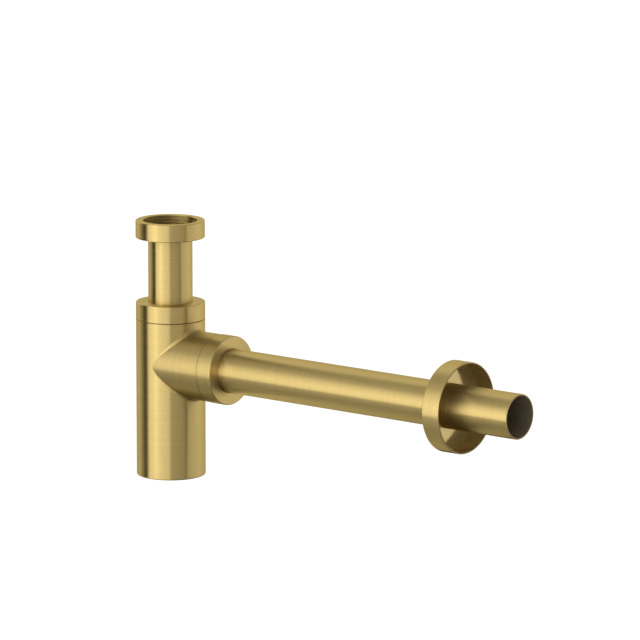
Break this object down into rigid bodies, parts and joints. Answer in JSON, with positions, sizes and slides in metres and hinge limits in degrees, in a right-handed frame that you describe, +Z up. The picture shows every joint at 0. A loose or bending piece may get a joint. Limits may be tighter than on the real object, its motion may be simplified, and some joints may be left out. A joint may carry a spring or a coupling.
{
  "type": "bottle trap",
  "caption": "Wash-basin bottle trap: threaded union nut and dip tube into a closed bottle, side branch with a straight outlet tube and a sliding wall rosette, all in brushed brass.",
  "frame": {"origin": "centre of the union nut's top face, on the axis of the inlet thread", "axes": "+Z up the inlet axis, towards the basin; +X along the outlet axis, towards the wall"},
  "size_m": [0.3405, 0.0648, 0.1868],
  "materials": {
    "brushed_brass": "brushed round each axis, satin",
    "seal_rubber": "moulded, matt",
    "slip_ring_nylon": "moulded, matt"
  },
  "bodies": {
    "union_nut": {"inlet_union_nut": "brushed_brass"},
    "dip_tube": {"inlet_tube": "brushed_brass", "inlet_gasket": "seal_rubber"},
    "trap": {"trap_body": "brushed_brass", "inlet_seal": "seal_rubber", "outlet_seal": "seal_rubber"},
    "inlet_ring": {"inlet_slip_ring": "slip_ring_nylon"},
    "inlet_collar": {"inlet_collar": "brushed_brass"},
    "outlet_ring": {"outlet_slip_ring": "slip_ring_nylon"},
    "outlet_collar": {"outlet_collar": "brushed_brass"},
    "outlet_tube": {"outlet_tube": "brushed_brass"},
    "rosette": {"wall_rosette": "brushed_brass"}
  },
  "joints": [
    {"name": "trap_swivel", "type": "hinge", "parent": "union_nut", "child": "dip_tube", "pos_m": [0, 0, 0], "axis": [0, 0, 1], "continuous": true},
    {"name": "trap_height", "type": "slide", "parent": "dip_tube", "child": "trap", "axis": [0, 0, 1], "range_m": [-0.03, 0.012]},
    {"name": "inlet_collar_travel", "type": "slide", "parent": "trap", "child": "inlet_ring", "axis": [0, 0, 1], "range_m": [0, 0.006]},
    {"name": "inlet_collar_turn", "type": "hinge", "parent": "inlet_ring", "child": "inlet_collar", "pos_m": [0, 0, -0.066], "axis": [0, 0, 1], "range_deg": [0, 1440]},
    {"name": "outlet_collar_travel", "type": "slide", "parent": "trap", "child": "outlet_ring", "axis": [1, 0, 0], "range_m": [0, 0.006]},
    {"name": "outlet_collar_turn", "type": "hinge", "parent": "outlet_ring", "child": "outlet_collar", "pos_m": [0.051, 0, -0.1036], "axis": [1, 0, 0], "range_deg": [0, 1440]},
    {"name": "outlet_reach", "type": "slide", "parent": "trap", "child": "outlet_tube", "axis": [1, 0, 0], "range_m": [-0.012, 0.012]},
    {"name": "rosette_slide", "type": "slide", "parent": "outlet_tube", "child": "rosette", "axis": [1, 0, 0], "range_m": [-0.18, 0.04]}
  ],
  "couplings": [
    {"joint": "inlet_collar_travel", "follows": "inlet_collar_turn", "m_per_rad": 0.00023873},
    {"joint": "outlet_collar_travel", "follows": "outlet_collar_turn", "m_per_rad": 0.00023873}
  ]
}
